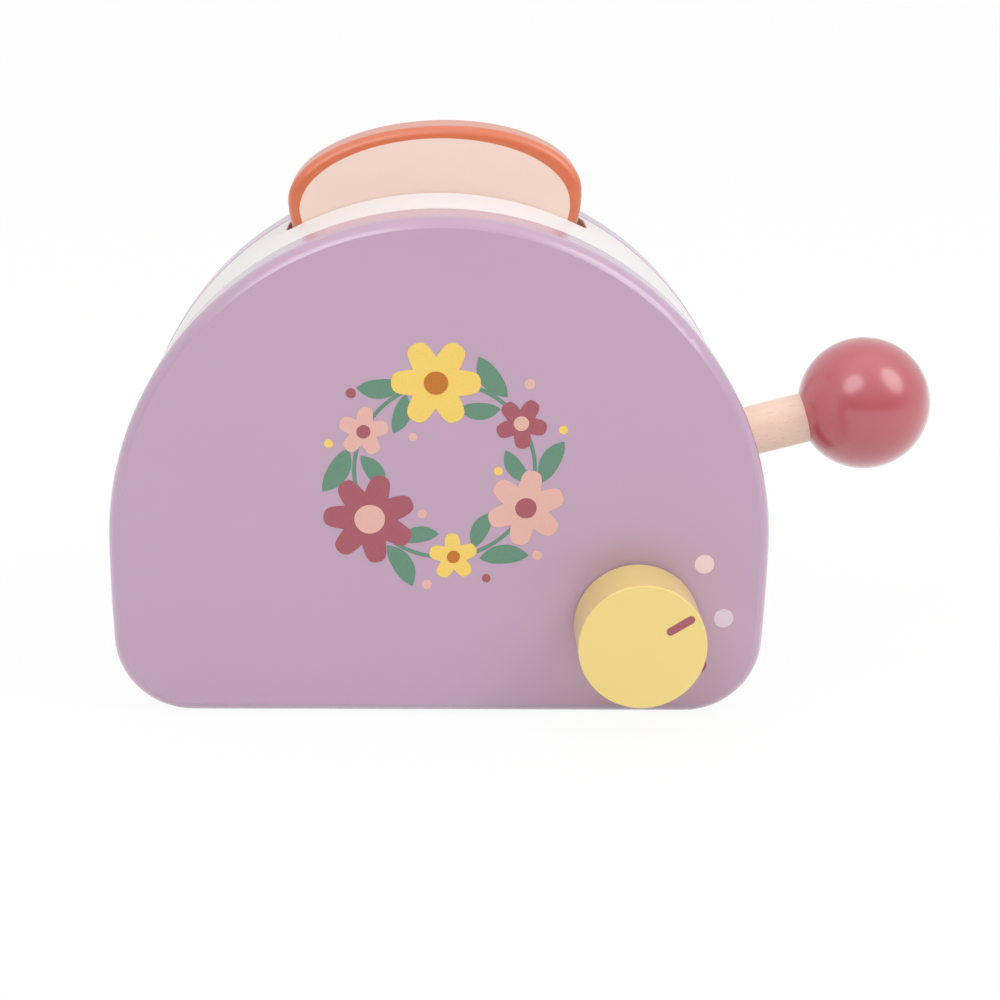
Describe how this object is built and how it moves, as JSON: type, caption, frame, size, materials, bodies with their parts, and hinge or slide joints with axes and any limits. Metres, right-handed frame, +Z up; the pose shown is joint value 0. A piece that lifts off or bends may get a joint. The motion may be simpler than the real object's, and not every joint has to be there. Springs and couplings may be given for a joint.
{
  "type": "toy toaster",
  "caption": "Wooden toy toaster with a half-round painted body, a slice of toast that a ball-ended lever lowers into its slot, and a round front knob that clicks as it turns",
  "frame": {"origin": "on the surface the toaster stands on, at the middle of the underside of its base, midway between the two side boards", "axes": "+X to the side the lever stands out of, +Y from the knob's board to the rear board, +Z up"},
  "size_m": [0.2588, 0.119, 0.1736],
  "materials": {
    "lilac_paint": "satin paint on sanded board",
    "white_paint": "satin paint on bent ply",
    "birch_ply": "bare, sanded",
    "bare_beech": "bare, sanded",
    "lever_beech": "turned and sanded, thin clear lacquer",
    "rose_paint": "gloss paint on turned wood",
    "toast_paint": "satin paint, with a darker crust line",
    "yellow_paint": "satin paint on turned wood",
    "steel": "bright zinc",
    "felt": "pressed wool felt",
    "nylon": "moulded"
  },
  "bodies": {
    "housing": {"front_panel": "lilac_paint", "rear_panel": "lilac_paint", "arch_shell": "white_paint", "base_board": "birch_ply", "arch_batten_left": "bare_beech", "arch_batten_right": "bare_beech", "panel_dowels": "bare_beech", "rear_panel_screws": "steel", "front_guide_board": "birch_ply", "rear_guide_board": "birch_ply", "well_end_left": "bare_beech", "well_end_right": "bare_beech", "pivot_pin": "steel", "pivot_spacer": "bare_beech", "stop_peg": "bare_beech", "landing_pad": "felt", "return_spring": "steel", "spindle_washer": "nylon", "click_leaf": "steel", "click_leaf_block": "bare_beech", "click_leaf_screws": "steel"},
    "lever": {"lever_rod": "lever_beech", "lever_ball": "rose_paint", "spring_peg": "bare_beech"},
    "carriage": {"lift_platform": "birch_ply", "lift_upright_left": "birch_ply", "lift_upright_right": "birch_ply", "lift_post": "bare_beech"},
    "toast": {"toast_slice": "toast_paint"},
    "knob": {"knob": "yellow_paint", "knob_spindle": "bare_beech", "click_wheel": "birch_ply"}
  },
  "joints": [
    {"name": "lever_press", "type": "hinge", "parent": "housing", "child": "lever", "pos_m": [-0.08, 0.0105, 0.028], "axis": [0, 1, 0], "range_deg": [0, 15.5], "stiffness_Nm_per_rad": 1, "springref_deg": -14.32, "deforming": ["return_spring"]},
    {"name": "carriage_lift", "type": "slide", "parent": "housing", "child": "carriage", "axis": [0, 0, -1], "range_m": [0, 0.02225]},
    {"name": "toast_lift", "type": "slide", "parent": "carriage", "child": "toast", "axis": [0, 0, 1], "range_m": [0, 0.1]},
    {"name": "knob_turn", "type": "hinge", "parent": "housing", "child": "knob", "pos_m": [0.0599, -0.0485, 0.0296], "axis": [0, -1, 0], "continuous": true}
  ],
  "couplings": [
    {"joint": "carriage_lift", "follows": "lever_press", "m_per_rad": 0.082023}
  ]
}
